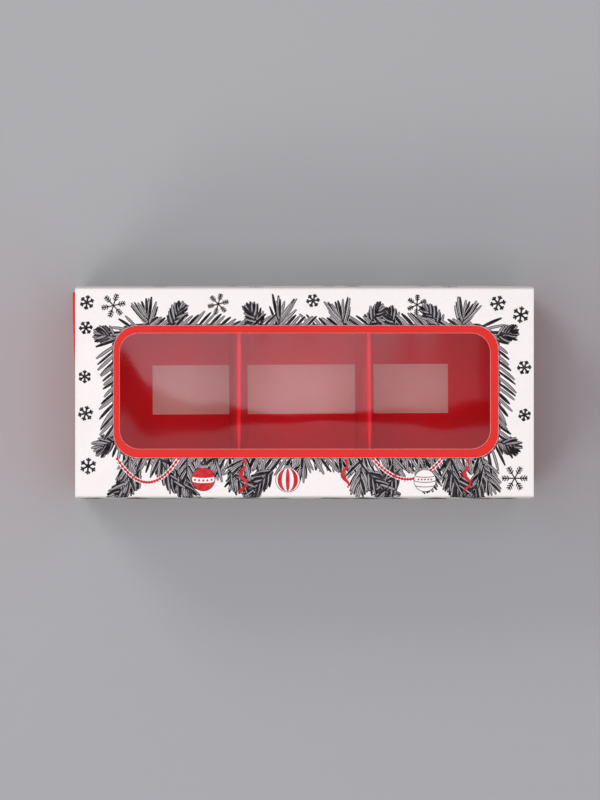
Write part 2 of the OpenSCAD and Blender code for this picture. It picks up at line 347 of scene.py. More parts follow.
def swellRun(y, low, high, swell, side, count):
    # circular arc through (y, low) and (y, high) that stands out by swell half way up
    half = (high - low) / 2
    radius = (half ** 2 + swell ** 2) / (2 * swell)
    reach = math.asin(half / radius)
    angle = np.linspace(-reach, reach, count)
    normal = np.stack([side * np.cos(angle), np.sin(angle)], -1)
    centre = np.array([side * (y + swell - radius), (low + high) / 2])
    return centre + radius * normal, normal


def girthPath():
    # section of the sleeve in Y and Z, from the cut edge under the back, forward, up the front,
    # over the top and down the back to the end of the glue flap
    c = carton
    fold, outer, height, low = c["fold"], c["width"] / 2, c["height"], c["flapZ"]
    inner = outer - fold
    runs = [
        lineRun((c["bottomStop"], 0), (-inner, 0), (0, -1), 2),
        arcRun((-inner, fold), fold, 270, 180, 25),
        swellRun(outer, fold, height - fold, c["swell"], -1, 90),
        arcRun((-inner, height - fold), fold, 180, 90, 25),
        lineRun((-inner, height), (inner, height), (0, 1), 3),
        arcRun((inner, height - fold), fold, 90, 0, 25),
        tuple(part[::-1] for part in swellRun(outer, low + fold, height - fold, c["swell"], 1, 90)),
        arcRun((inner, low + fold), fold, 0, -90, 25),
        lineRun((inner, low), (c["flapStop"], low), (0, -1), 2),
    ]
    points = np.concatenate([run[0] for run in runs])
    normals = np.concatenate([run[1] for run in runs])
    steps = np.linalg.norm(np.diff(points, axis=0), axis=1)
    along = np.concatenate([[0], np.cumsum(steps)])
    counts = np.cumsum([0] + [len(run[0]) for run in runs])
    middle = along[counts[4] + 1]  # half way over the top panel
    marks = [float(along[counts[i]] - middle) for i in range(len(runs))] + [float(along[-1] - middle)]
    return points, normals, along - middle, marks


girthPoints, girthNormals, girthAlong, girthMarks = girthPath()
(bottomCut, frontLowFold, frontFoot, frontHead, topFront,
 topBack, backHead, backFoot, flapStart, flapEnd) = girthMarks


def dent(u, v):
    # how far the board lies in from its even shape: a sag beside the window, wandering folds and
    # lazy waves in the faces, each a product of sines that is never below zero
    c = carton
    sag = c["sag"] * np.clip(1 - (v / topBack) ** 2, 0, 1) * (0.65 + 0.35 * np.cos(u / 38.0 + 0.4))
    wander = 0.5 + 0.27 * np.sin(u / 7.9 + 1.3) + 0.23 * np.sin(u / 15.7 + 0.2)
    atFold = np.exp(-((v - (topFront + frontHead) / 2) / 2.6) ** 2)
    otherWander = 0.5 + 0.3 * np.sin(u / 17.3 + 4.0) + 0.2 * np.sin(u / 9.1)
    atBack = np.exp(-((v - (topBack + backHead) / 2) / 2.6) ** 2)
    face = smoothStep(np.abs(v), backHead + 3, backHead + 14) * (np.abs(v) < abs(frontFoot) - 3)
    waves = 0.06 * (1 + np.sin(u / 21.0 + v / 13.0)) * face
    ends = 0.1 * smoothStep(np.abs(u), 50, 60) * smoothStep(-np.abs(v), -topBack - 1, -topBack + 8)
    return c["inset"] + sag + c["foldWander"] * (wander * atFold + 0.4 * otherWander * atBack) + waves + ends


def sleeveSurface(u, v, lift=0.0):
    # u runs along the box and v round the girth from the middle of the top, back side positive;
    # the point is the path's point at v, moved along the path's normal by lift minus dent
    u, v = np.broadcast_arrays(np.asarray(u, float), np.asarray(v, float))
    y = np.interp(v, girthAlong, girthPoints[:, 0])
    z = np.interp(v, girthAlong, girthPoints[:, 1])
    ny = np.interp(v, girthAlong, girthNormals[:, 0])
    nz = np.interp(v, girthAlong, girthNormals[:, 1])
    size = np.hypot(ny, nz)
    away = lift - dent(u, v)
    return np.stack([u, y + away * ny / size, z + away * nz / size], -1)


def roundedOutline(low, high, radius, counts):
    # outline of a rectangle with round corners, from its lower right, anticlockwise; counts gives the
    # points of a short side, a corner and a long side. Radius 0 with a corner count keeps the corner
    # half way, the points before and after it lying on the two sides
    (x0, y0), (x1, y1) = low, high
    side, corner, edge = counts

    def run(a, b, count):
        t = np.arange(count)[:, None] / count
        return np.asarray(a) * (1 - t) + np.asarray(b) * t

    def bend(centre, start):
        angle = np.radians(start + 90 * np.arange(corner) / corner)
        return np.asarray(centre) + radius * np.stack([np.cos(angle), np.sin(angle)], -1)

    r = radius
    return np.concatenate([
        run((x1, y0 + r), (x1, y1 - r), side), bend((x1 - r, y1 - r), 0),
        run((x1 - r, y1), (x0 + r, y1), edge), bend((x0 + r, y1 - r), 90),
        run((x0, y1 - r), (x0, y0 + r), side), bend((x0 + r, y0 + r), 180),
        run((x0 + r, y0), (x1 - r, y0), edge), bend((x1 - r, y0 + r), 270),
    ])


def squareOutline(halfX, halfY, insetX, insetY, counts):
    # same order and counts on a plain rectangle: a corner's points run to the corner and on from it
    side, corner, edge = counts
    near = np.arange(corner // 2)[:, None] / (corner // 2)

    def run(a, b, count):
        t = np.arange(count)[:, None] / count
        return np.asarray(a, float) * (1 - t) + np.asarray(b, float) * t

    def bend(a, tip, b):
        a, tip, b = (np.asarray(p, float) for p in (a, tip, b))
        return np.concatenate([a * (1 - near) + tip * near, tip * (1 - near) + b * near])

    ix, iy = halfX - insetX, halfY - insetY
    return np.concatenate([
        run((halfX, -iy), (halfX, iy), side), bend((halfX, iy), (halfX, halfY), (ix, halfY)),
        run((ix, halfY), (-ix, halfY), edge), bend((-ix, halfY), (-halfX, halfY), (-halfX, iy)),
        run((-halfX, iy), (-halfX, -iy), side), bend((-halfX, -iy), (-halfX, -halfY), (-ix, -halfY)),
        run((-ix, -halfY), (ix, -halfY), edge), bend((ix, -halfY), (halfX, -halfY), (halfX, -iy)),
    ])


def ringRows(outlines, shares):
    # rows of points between one closed outline and the next; shares lists, for each gap, the parts
    # of the way at which a row lies
    rows = [outlines[0]]
    for first, second, parts in zip(outlines[:-1], outlines[1:], shares):
        rows += [first * (1 - t) + second * t for t in parts]
    return np.array(rows)


def ringFaces(rows, around):
    index = np.arange(rows * around).reshape(rows, around)
    turned = np.roll(index, -1, axis=1)
    return np.stack([index[:-1], turned[:-1], turned[1:], index[1:]], -1).reshape(-1, 4)


def creaseWear(u, v):
    # ink rubbed off the four folds, most of it on the upper front one
    folds = [((topFront + frontHead) / 2, 1.0), ((topBack + backHead) / 2, 0.8),
             ((frontLowFold + frontFoot) / 2, 0.8), ((backFoot + flapStart) / 2, 0.7)]
    wear = sum(depth * np.exp(-((v - middle) / 0.7) ** 2) for middle, depth in folds)
    return np.clip(wear * (0.6 + 0.4 * np.sin(u / 6.1) * np.sin(u / 2.3 + 1)) + smoothStep(
        np.abs(u), carton["half"] - 0.7, carton["half"]) * 0.5, 0, 1)


def makeSleeve():
    counts = (14, 8, 66)
    cut = roundedOutline(
        np.array(window["offset"]) - np.array(window["size"]) / 2,
        np.array(window["offset"]) + np.array(window["size"]) / 2, window["corner"], counts)
    cutLip = roundedOutline(
        np.array(window["offset"]) - np.array(window["size"]) / 2 - window["lip"],
        np.array(window["offset"]) + np.array(window["size"]) / 2 + window["lip"],
        window["corner"] + window["lip"], counts)
    border = roundedOutline(window["borderLow"], window["borderHigh"], window["borderCorner"], counts)
    panel = squareOutline(carton["half"], topBack, 16.5, 16.1, counts)
    rows = ringRows([cut, cutLip, border, panel], [(1,), (0.5, 1), (0.12, 0.3, 0.5, 0.7, 0.86, 1)])
    ring = sleeveSurface(rows[..., 0], rows[..., 1])
    ring[0, :, 2] -= 0.05  # the cut's rim, pressed down by the die
    around = rows.shape[1]
    ringCells = ringFaces(len(rows), around)
    ringSlots = np.repeat([2, 1, 1, 0, 0, 0, 0, 0, 0], around)

    columns = np.unique(np.round(panel[np.isclose(panel[:, 1], topBack), 0], 6))
    points, faces, slots, uv = [ring.reshape(-1, 3)], [
        faceTowards(ring.reshape(-1, 3), ringCells, (0, 0, 1))], [ringSlots], [rows.reshape(-1, 2)]
    frontRows = np.concatenate([
        np.linspace(bottomCut, frontLowFold, 9), np.linspace(frontLowFold, frontFoot, 8)[1:],
        np.linspace(frontFoot, frontHead, 30)[1:], np.linspace(frontHead, topFront, 8)[1:]])
    backRows = np.concatenate([
        np.linspace(topBack, backHead, 8), np.linspace(backHead, backFoot, 30)[1:],
        np.linspace(backFoot, flapStart, 8)[1:], np.linspace(flapStart, flapEnd, 5)[1:]])
    for stations in (frontRows, backRows):
        v, u = np.meshgrid(stations, columns, indexing="ij")
        strip = sleeveSurface(u, v).reshape(-1, 3)
        first = (0, 0, -1) if stations[0] < 0 else (0, 0.3, 1)
        faces.append(faceTowards(strip, gridFaces(*v.shape), first) + sum(len(p) for p in points))
        points.append(strip)
        slots.append(np.zeros(len(faces[-1]), int))
        uv.append(np.stack([u, v], -1).reshape(-1, 2))
    uv = np.concatenate(uv)
    points, faces, first = weld(np.concatenate(points), np.concatenate(faces))
    uv = uv[first]
    lots = [paperWhite, paperBorder, boardCut] + [boardBare] * 3 + [boardCut] * 3
    piece = makePiece("sleeve_board", points, faces, lots, np.concatenate(slots), carton["board"],
                      {"crease": creaseWear(uv[:, 0], uv[:, 1])})
    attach(piece, "sleeve")
    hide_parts("sleeve_top", "sleeve_front", "sleeve_back", "sleeve_bottom", "sleeve_glue_flap")
    return piece


makeSleeve()
print("sleeve made")

# film and its glue
film = {
    "thickness": 0.2, "glue": 0.1, "setback": 1.5,
    "half": nodeBox("window_film")[1][:2],
    "sink": 0.1,  # of the film inside the window, as far as the board sags beside it
    # the dark bar that the film mirrors: its height over the film and its two long edges
    "mirrorHeight": 1845.0, "barHigh": -21.0, "barLow": -32.6,
    # where along X, and at what Y, the film shows the bar's upper and lower edge
    "stations": (-50, -48, -45.5, -44, -41.5, -38, -32, -24, -16, -8, 4, 16, 28, 38, 50),
    "upper": (9.5, 9.6, 8.0, 5.0, 1.6, 0.4, -1.2, -3.0, -4.6, -5.2, -5.4, -4.8, -4.2, -3.2, -2.0),
    "lower": (-3.0, -3.6, -5.2, -7.6, -10.0, -10.8, -11.0, -10.4, -8.6, -7.8, -7.5, -7.8, -8.4, -9.2, -10.0),
}


def easedLine(x, stations, values):
    # runs through the values with level ends, eased between one station and the next
    at = np.clip(np.searchsorted(stations, x) - 1, 0, len(stations) - 2)
    a, b = np.asarray(stations, float)[at], np.asarray(stations, float)[at + 1]
    t = np.clip((x - a) / (b - a), 0, 1)
    t = t * t * (3 - 2 * t)
    return np.asarray(values, float)[at] * (1 - t) + np.asarray(values, float)[at + 1] * t


def filmWave(x, y):
    # slope in Y = a(x) + b(x) y, chosen so that the two edges of the dark bar over the table are
    # mirrored along the lines upper(x) and lower(x); its integral over y is the film's height
    f = film
    upper = easedLine(x, f["stations"], f["upper"])
    lower = easedLine(x, f["stations"], f["lower"])
    rise = f["mirrorHeight"]
    gain = 1 + rise / view["distance"]
    shift = gain * view["over"][1] - view["over"][1]

    def slopeAt(level, edge):
        return (gain * level - shift - edge) / (2 * rise)

    first, second = slopeAt(upper, f["barHigh"]), slopeAt(lower, f["barLow"])
    b = (first - second) / (upper - lower)
    a = first - b * upper
    ripple = 0.003 * np.sin(x / 4.2 + 0.5 * np.sin(y / 5.0)) * np.cos(y / 6.5 + x / 15.0)
    return a * y + b * y * y / 2 + ripple


def filmLevel(x, y):
    # middle of the film's thickness: under the board and its glue, and waving inside the window
    under = carton["board"] + film["glue"] + film["thickness"] / 2
    inside = smoothStep(-np.abs(x), -56, -50) * smoothStep(-np.abs(y), -22.5, -16.2)
    lie = -dent(x, y) * (1 - inside) + (filmWave(x, y) - film["sink"]) * inside
    return carton["height"] - under + lie


def makeFilm():
    hx, hy = film["half"]
    x, y = np.meshgrid(np.linspace(-hx, hx, 115), np.linspace(-hy, hy, 49), indexing="ij")
    points = np.stack([x, y, filmLevel(x, y) + film["thickness"] / 2], -1).reshape(-1, 3)
    faces = faceTowards(points, gridFaces(*x.shape), (0, 0, 1))
    piece = makePiece("film_sheet", points, faces, [filmOuter, filmInner, filmInner], None,
                      film["thickness"])
    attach(piece, "sleeve")
    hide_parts("window_film")

    # glue: a frame between the film's edge and the window's cut, both set back
    counts = (14, 8, 66)
    back = film["setback"]
    inner = roundedOutline(
        np.array(window["offset"]) - np.array(window["size"]) / 2 - back,
        np.array(window["offset"]) + np.array(window["size"]) / 2 + back, window["corner"] + back, counts)
    outer = squareOutline(hx - back, hy - back, 12, 10, counts)
    rows = ringRows([inner, outer], [(0.35, 0.7, 1)])
    top = carton["height"] - carton["board"] - dent(rows[..., 0], rows[..., 1])
    points = np.concatenate([rows, top[..., None]], -1).reshape(-1, 3)
    faces = faceTowards(points, ringFaces(*rows.shape[:2]), (0, 0, 1))
    piece = makePiece("film_glue", points, faces, [driedGlue] * 3, None, film["glue"])
    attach(piece, "sleeve")
    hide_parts("window_glue")


makeFilm()
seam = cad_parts["seam_glue"]
seam.data.materials.clear()
seam.data.materials.append(driedGlue)
print("film and glue made")

# tray: each wall one sheet, up the outside, over the rim, down inside and in over the floor
trayLow = nodeBox("tray_floor")[0]
trayHigh = nodeBox("tray_floor")[1]
tray = {
    "half": (59.82, 26.65),
    "shift": ((trayLow[0] + trayHigh[0]) / 2, 0.0, trayLow[2]),
    "height": nodeBox("tray_back_wall")[1][2] - trayLow[2],
    "board": 0.4, "fold": 0.8, "wall": 1.3,
    "flap": {"front": 19.3, "back": 18.1, "left": 18.45, "right": 18.6}, "mitre": 0.0,
    "skew": 0.3,  # degrees that the tray lies turned inside the sleeve
    "shiftY": 0.08,
    "cornerIn": 1.25, "air": 0.05,
    "rimGap": 0.15, "edgeBack": 0.15,
    "tab": 20.0, "tabBevel": 5.0,
    "notch": 45.5, "notchHalf": 0.91, "spacing": 34.0,
    "ease": 0.45,  # how far the tray has eased back in behind its left end
    "askew": 0.5,  # how much further the left end stands out at the back than at the front
    "bow": 0.22,  # outward bow of the walls at half height
}


def intoBox(points):
    # from the tray's own frame to its place in the closed box, the left end set a little askew
    turn = math.radians(tray["skew"])
    x, y, z = points[..., 0], points[..., 1], points[..., 2]
    cosT, sinT = math.cos(turn), math.sin(turn)
    moved = np.stack([x * cosT - y * sinT, x * sinT + y * cosT, z], -1)
    moved += np.array(tray["shift"]) + (0, tray["shiftY"], 0)
    nearEnd = smoothStep(-x, 44, 58)
    forward = smoothStep(-y, -22, -3)
    moved[..., 0] += tray["ease"] * (1 - nearEnd) + tray["askew"] * nearEnd * forward
    return moved


def wallPath(half, flap, lengths):
    # distance out from the middle, height, and half length towards each end, row by row, on the
    # printed side of the board
    t, (rimLength, foldLength, flapNear, flapFar) = tray, lengths
    fold, wall, height = t["fold"], t["wall"], t["height"]
    rim, foot = wall / 2, t["board"] + fold
    low = np.radians(np.linspace(-90, 0, 7))
    over = np.radians(np.linspace(0, 180, 15))
    turn = np.radians(np.linspace(0, -90, 6))
    straight = np.unique(np.concatenate([np.linspace(fold, height - rim, 15), [t["notch"]]]))[1:-1]
    inside = np.unique(np.concatenate([np.linspace(foot, height - rim, 15), [t["notch"]]]))[::-1][1:-1]
    inner = fold - t["board"]  # the visible side of the fold at the liner's foot is the hollow one
    flapIn = wall + inner
    out = np.concatenate([
        half - fold + fold * np.cos(low), np.full(len(straight), half),
        half - rim + rim * np.cos(over), np.full(len(inside), half - wall),
        half - flapIn + inner * np.cos(turn), half - np.linspace(flapIn, wall + flap, 9)[1:]])
    up = np.concatenate([
        fold + fold * np.sin(low), straight, height - rim + rim * np.sin(over), inside,
        foot + inner * np.sin(turn), np.full(8, 2 * t["board"])])
    length = np.concatenate([
        np.full(7, foldLength), np.full(len(straight), foldLength if half < 40 else rimLength),
        np.full(15, rimLength), np.full(len(inside), rimLength), np.linspace(rimLength, flapNear, 6)])
    length = np.concatenate([length[:, None] * np.ones(2),
                             np.linspace(np.full(2, flapNear), flapFar, 9)[1:]])
    return out, up, length


def wallBow(up):
    return tray["bow"] * np.sin(np.pi * np.clip(up / tray["height"], 0, 1)) ** 2


def creaseRows(out, up, half):
    # wear is strongest on the rim and present on the folds
    rim = np.exp(-((up - tray["height"]) / 0.5) ** 2)
    foldLow = np.exp(-((up - 0.2) / 0.4) ** 2) * (out > half - 1)
    foldIn = np.exp(-(np.hypot(out - (half - 1.45), up - 0.95) / 0.45) ** 2)
    return np.clip(rim + 0.8 * foldLow + 0.8 * foldIn, 0, 1)


def makeWall(name, side, nodes):
    t = tray
    halfX, halfY = t["half"]
    onLong = side in ("front", "back")
    half, other = (halfY, halfX) if onLong else (halfX, halfY)
    flapIn = t["wall"] + t["fold"] - t["board"]
    flap = t["flap"][side]
    beside = np.array([t["flap"][name] for name in (("left", "right") if onLong else ("front", "back"))])
    if onLong:
        lengths = (other - t["wall"] - t["rimGap"], other - t["cornerIn"],
                   other - flapIn - t["mitre"], other - t["wall"] - beside - t["mitre"])
        notches = np.array([s * t["spacing"] / 2 + e * t["notchHalf"] for s in (-1, 1) for e in (-1, 1)])
        fixed = np.unique(np.concatenate([np.linspace(-36, 36, 37), notches]))
    else:
        lengths = (other - t["edgeBack"], other - t["fold"],
                   other - flapIn - t["mitre"], other - t["wall"] - beside - t["mitre"])
        fixed = np.linspace(-6, 6, 9)
    out, up, length = wallPath(half, flap, lengths)
    if not onLong:  # the liner runs in behind the long liners
        liner = (up > 2) & (out < half - t["wall"] + 0.01)
        length[liner] = other - t["wall"] + t["board"] - t["air"]
    edge = fixed[-1]
    spread = np.linspace(0, 1, 9)[1:]
    low, high = (edge + spread * (length[:, end:end + 1] - edge) for end in (0, 1))
    along = np.concatenate([-low[:, ::-1], np.tile(fixed, (len(out), 1)), high], 1)
    away = (out + wallBow(up) * (up > 2.5) * onLong)[:, None] * np.ones_like(along)
    level = up[:, None] * np.ones_like(along)
    sign = 1 if side in ("back", "right") else -1
    if onLong:
        points = np.stack([along, sign * away, level], -1)
    else:
        points = np.stack([sign * away, along, level], -1)
    rows, cols = along.shape
    cells = gridFaces(rows, cols)
    if onLong:  # cut the notches out of both layers and the rim between them
        middle = points.reshape(-1, 3)[cells].mean(1)
        besides = np.abs(np.abs(middle[:, 0]) - t["spacing"] / 2) < t["notchHalf"] - 0.01
        cells = cells[~(besides & (middle[:, 2] > t["notch"]))]
    flat = intoBox(points).reshape(-1, 3)
    cells = faceTowards(flat, cells, (0, 0, -1))
    wear = np.tile(creaseRows(out, up, half)[:, None], (1, cols)).ravel()
    wear = wear * (0.65 + 0.35 * np.sin(flat[:, 0] / 3.7) * np.sin(flat[:, 1] / 2.9 + 1))
    piece = makePiece(name, flat, cells, [boardRed, boardRearRedBounce, boardCut], None, t["board"],
                      {"crease": wear})
    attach(piece, "tray")
    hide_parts(*nodes)


def makeTrayFloor():
    t = tray
    hx, hy = (h - t["fold"] for h in t["half"])
    x, y = np.meshgrid(np.linspace(-hx, hx, 61), np.linspace(-hy, hy, 27), indexing="ij")
    points = intoBox(np.stack([x, y, np.zeros_like(x)], -1)).reshape(-1, 3)
    faces = faceTowards(points, gridFaces(*x.shape), (0, 0, -1))  # the printed side faces down
    piece = makePiece("tray_base", points, faces, [boardRed, boardRearRedBounce, boardCut], None, t["board"],
                      {"crease": np.zeros(len(points))})
    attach(piece, "tray")
    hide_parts("tray_floor")


def makeTab(name, xSide, ySide, node):
    # quarter fold from a long wall into an end wall, then the tab with its two bevels
    t = tray
    halfX, halfY = t["half"]
    fold, low = t["fold"], t["fold"]
    high = t["height"] - t["wall"] / 2
    turn = np.radians(np.linspace(90, 0, 8))
    reach = np.array([0.4, 1, 2, 4, 7, 10, 13, t["tab"] - t["tabBevel"], 17, 18.5, t["tab"]])
    x = np.concatenate([halfX - t["cornerIn"] + fold * np.cos(turn),
                        np.full(len(reach), halfX - t["cornerIn"] + fold)])
    y = np.concatenate([halfY - fold + fold * np.sin(turn), halfY - fold - reach])
    bevel = np.concatenate([np.zeros(8), np.clip(reach - (t["tab"] - t["tabBevel"]), 0, None)])
    share = np.linspace(0, 1, 13)
    z = (low + bevel)[:, None] * (1 - share) + (high - bevel)[:, None] * share
    bow = wallBow(z)
    outX = x[:, None] + 0 * z
    outY = y[:, None] + bow * (np.arange(len(x)) < 8)[:, None] * np.clip(
        1 - np.arange(len(x)) / 7, 0, 1)[:, None]
    points = np.stack([xSide * outX, ySide * outY, z], -1)
    flat = intoBox(points).reshape(-1, 3)
    faces = faceTowards(flat, gridFaces(*z.shape), (0.1 * xSide, ySide, 0))
    wear = np.tile((np.exp(-((np.arange(len(x)) - 3.5) / 2.5) ** 2) * 0.7)[:, None], (1, len(share)))
    piece = makePiece(name, flat, faces, [boardRed, boardRearRedBounce, boardCut], None, t["board"],
                      {"crease": wear.ravel()})
    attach(piece, "tray")
    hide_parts(node)


makeTrayFloor()
for side in ("front", "back", "left", "right"):
    makeWall(f"tray_{side}", side, [f"tray_{side}_wall", f"tray_{side}_liner", f"floor_flap_{side}"])
for nearName, ySide in (("front", -1), ("back", 1)):
    for endName, xSide in (("left", -1), ("right", 1)):
        makeTab(f"tray_tab_{nearName}_{endName}", xSide, ySide, f"corner_tab_{nearName}_{endName}")
print("tray made")

# dividers: cards folded to an upside-down V, hung by ears in the long walls
card = {
    "board": 0.4, "ridge": 0.62, "pinch": 0.4,  # radius of the ridge in the middle and at its ends
    "spread": 2.5, "drop": 1.2, "endGap": 0.3, "earInset": 0.2, "earHeight": 6.0,
    "wander": 0.12,  # how far a ridge wanders from a straight line
}


def makeDivider(name, x, seed, node):
    # section: leaf, round ridge, leaf; carried along Y with its ridge radius between pinch and ridge
    t, c = tray, card
    halfY = t["half"][1]
    bodyHalf, earHalf = halfY - t["wall"] - c["endGap"], halfY - c["earInset"]
    top, foot = t["height"] - c["drop"], 2 * t["board"]
    earFoot = top - c["earHeight"]
    y = np.concatenate([[-earHalf, -(earHalf + bodyHalf) / 2],
                        np.linspace(-bodyHalf, bodyHalf, 45), [(earHalf + bodyHalf) / 2, earHalf]])
    radius = c["pinch"] + (c["ridge"] - c["pinch"]) * smoothStep(-np.abs(y - 3), -19, -10)
    ridgeZ = top - radius
    rise = ridgeZ - foot
    lean = np.arctan2(c["spread"], rise) - np.arcsin(radius / np.hypot(c["spread"], rise))
    turn = np.linspace(0, 1, 11)[:, None]
    angle = lean + turn * (np.pi - 2 * lean)
    roundX, roundZ = radius * np.cos(angle), ridgeZ + radius * np.sin(angle)
    headX, headZ = roundX[0], roundZ[0]
    earShare = (earFoot - foot) / (headZ.mean() - foot)
    heights = np.unique(np.concatenate([np.linspace(0, 1, 14), [earShare]]))[:-1, None]
    levels = foot + heights * (headZ - foot)
    isEar = np.isclose(levels, earFoot, atol=0.6)
    levels = np.where(isEar, earFoot, levels)
    share = (levels - foot) / (headZ - foot)
    legX = c["spread"] * (1 - share) + headX * share
    sectionX = np.concatenate([legX, roundX, -legX[::-1]])
    sectionZ = np.concatenate([levels, roundZ, levels[::-1]])
    rows = len(sectionX)
    along = np.tile(y, (rows, 1))
    sway = c["wander"] * np.sin(y / 14.0 + seed) * smoothStep(-np.abs(y), -24, -14)
    high = smoothStep(sectionZ, foot, top)
    points = np.stack([sectionX + x + sway * high, along, sectionZ], -1)
    cells = gridFaces(*along.shape)
    middle = points.reshape(-1, 3)[cells].mean(1)
    cells = cells[~((np.abs(middle[:, 1]) > bodyHalf) & (middle[:, 2] < earFoot))]
    flat = intoBox(points).reshape(-1, 3)
    cells = faceTowards(flat, cells, (1, 0, 0))
    # paler tone along the crest: partly ink worn off the fold, partly a painted highlight where the crest is
    # lit from above
    wear = (np.exp(-((top - sectionZ) / 0.35) ** 2) * (0.75 + 0.25 * np.sin(along / 2.3 + seed))).ravel()
    piece = makePiece(name, flat, cells, [boardRed, boardRearRedBounce, boardCut], None, c["board"],
                      {"crease": wear})
    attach(piece, "tray")
    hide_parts(node)


makeDivider("divider_card_left", -tray["spacing"] / 2 + 0.15, 0.4, "divider_left")
makeDivider("divider_card_right", tray["spacing"] / 2 + 0.25, 2.1, "divider_right")
print("dividers made")

# print: thin ink on the sleeve, drawn in its unrolled coordinates u and v
inks = {
    "lift": 0.01, "layer": 0.0018, "turns": 7,  # a needle has three layers and lies on the one before it
    "black": linear(24, 19, 23), "grey": linear(158, 151, 156),
    "red": linear(205, 34, 42), "white": linear(248, 241, 241),
    "needleWidth": 0.84, "halo": 0.07, "outline": 0.19,
    "seed": 11,
}
layer = inks["layer"]
over = 3 * layer * inks["turns"]  # the first height above all needles
inkStrokes = {"black": [], "grey": [], "red": [], "white": []}
rng = np.random.default_rng(inks["seed"])
borderMiddle = (np.array(window["borderLow"]) + window["borderHigh"]) / 2
borderHalf = (np.array(window["borderHigh"]) - window["borderLow"]) / 2
borderLine = np.roll(roundedOutline(window["borderLow"], window["borderHigh"], window["borderCorner"],
                                    (40, 16, 100)), -20, axis=0)
borderLine = np.concatenate([borderLine, borderLine[:1]])
borderRun = np.concatenate([[0], np.cumsum(np.linalg.norm(np.diff(borderLine, axis=0), axis=1))])


def outsideBorder(flat, margin=0.04):
    # points inside the red border's outline move out to it along the shortest way; distance to the
    # outline of a round cornered rectangle = length of the part past its inner rectangle - radius
    radius = window["borderCorner"]
    side = np.where(flat >= borderMiddle, 1.0, -1.0)
    q = np.abs(flat - borderMiddle) - (borderHalf - radius)
    past = np.maximum(q, 0)
    size = np.linalg.norm(past, axis=-1, keepdims=True)
    inner = np.minimum(np.max(q, -1, keepdims=True), 0)
    distance = size + inner - radius
    straight = np.where(q >= np.max(q, -1, keepdims=True), 1.0, 0.0)
    outward = np.where(size > 1e-9, past / np.maximum(size, 1e-9), straight) * side
    return np.where(distance < margin, flat + (margin - distance) * outward, flat)


def addInk(ink, flat, lift, cells):
    # flat: points in u and v, lift: their height over the print's first layer; kept on the panel
    flat = outsideBorder(flat)
    u = np.clip(flat[..., 0], -carton["half"] + 0.1, carton["half"] - 0.1)
    points = sleeveSurface(u, flat[..., 1], inks["lift"] + lift)
    inkStrokes[ink].append((points.reshape(-1, 3), cells))


def addLines(ink, line, halfWidth, lift=0.0):
    # ribbons along many lines at once; line: (count, stations, 2), halfWidth: (count, stations).
    # Edge = line plus and minus halfWidth times the unit normal to the line's direction
    count, stations, _ = line.shape
    step = np.gradient(line, axis=1)
    across = np.stack([-step[..., 1], step[..., 0]], -1)
    across /= np.maximum(np.linalg.norm(across, axis=-1, keepdims=True), 1e-9)
    wide = across * np.broadcast_to(halfWidth, (count, stations))[..., None]
    flat = np.stack([line + wide, line - wide], 2)
    index = np.arange(count * stations * 2).reshape(count, stations, 2)
    cells = np.stack([index[:, :-1, 0], index[:, :-1, 1], index[:, 1:, 1], index[:, 1:, 0]], -1)
    addInk(ink, flat, np.broadcast_to(lift, (count,))[:, None, None], cells.reshape(-1, 4))


def addDots(ink, centres, radius, lift=0.0, stretch=1.0):
    # ten-sided dots: centre + radius times (cos, stretch sin); each is cut into four four-sided faces
    angle = np.radians(np.arange(10) * 36 + 18)
    rim = np.stack([np.cos(angle), stretch * np.sin(angle)], -1)
    flat = centres[:, None] + np.broadcast_to(radius, (len(centres),))[:, None, None] * rim
    index = np.arange(len(centres) * 10).reshape(-1, 10)
    cells = np.stack([index[:, [0, k, k + 1, k + 2]] for k in (1, 3, 5, 7)], 1).reshape(-1, 4)
    addInk(ink, flat, np.broadcast_to(lift, (len(centres),))[:, None], cells)


def addPatch(ink, upper, lower, lift=0.0, rows=7):
    # a filled shape between two curves that run the same way, drawn as straight rungs from one to
    # the other
    t = np.linspace(0, 1, rows)[:, None, None]
    flat = lower[None] * (1 - t) + upper[None] * t
    addInk(ink, flat, lift, gridFaces(rows, flat.shape[1]))


needles = []  # rows of u, v, direction, length, width, bend, width of the white edge


def addNeedles(u, v, angle, length, width, bend, halo):
    rows = np.broadcast_arrays(u, v, angle, length, width, bend, halo)
    needles.append(np.stack(rows, -1).reshape(-1, 7))


def sprig(u, v, angle, length, needle, pairs, curl=0.0, spread=38.0, halo=0.0, twig=0.2):
    # a twig that bends evenly by curl, with needles in pairs: they spread less towards the tip and
    # are longest a third of the way up
    t = np.linspace(0.04, 1, pairs)
    heading = np.radians(angle + curl * t)
    reach = length * np.diff(t, prepend=0)
    x, y = u + np.cumsum(reach * np.cos(heading)), v + np.cumsum(reach * np.sin(heading))
    line = np.stack([np.concatenate([[u], x]), np.concatenate([[v], y])], -1)
    size = needle * (0.6 + 0.5 * np.sin(np.pi * (0.2 + 0.72 * t)))
    for side in (-1, 1):
        tilt = np.radians(spread * (1 - 0.5 * t) + rng.normal(0, 2.5, pairs))
        addNeedles(x, y, heading + side * tilt, size * rng.uniform(0.88, 1.1, pairs),
                   inks["needleWidth"] * rng.uniform(0.85, 1.15, pairs),
                   side * rng.normal(-0.06, 0.03, pairs), halo)
    addNeedles(x[-1:], y[-1:], heading[-1:], needle * 0.7, inks["needleWidth"], 0.0, halo)
    fine = np.stack([np.interp(np.linspace(0, 1, 3 * pairs), np.linspace(0, 1, len(line)), line[:, k])
                     for k in (0, 1)], -1)
    addLines("black", fine[None], np.linspace(twig, 0.1, len(fine))[None], over)
    if not halo:  # between the needles of a dense one it is black
        shade = needle * 0.34 * np.sin(np.pi * (0.02 + 0.9 * np.linspace(0, 1, len(fine)))) ** 0.7
        addLines("black", fine[None], shade[None], -2 * layer)


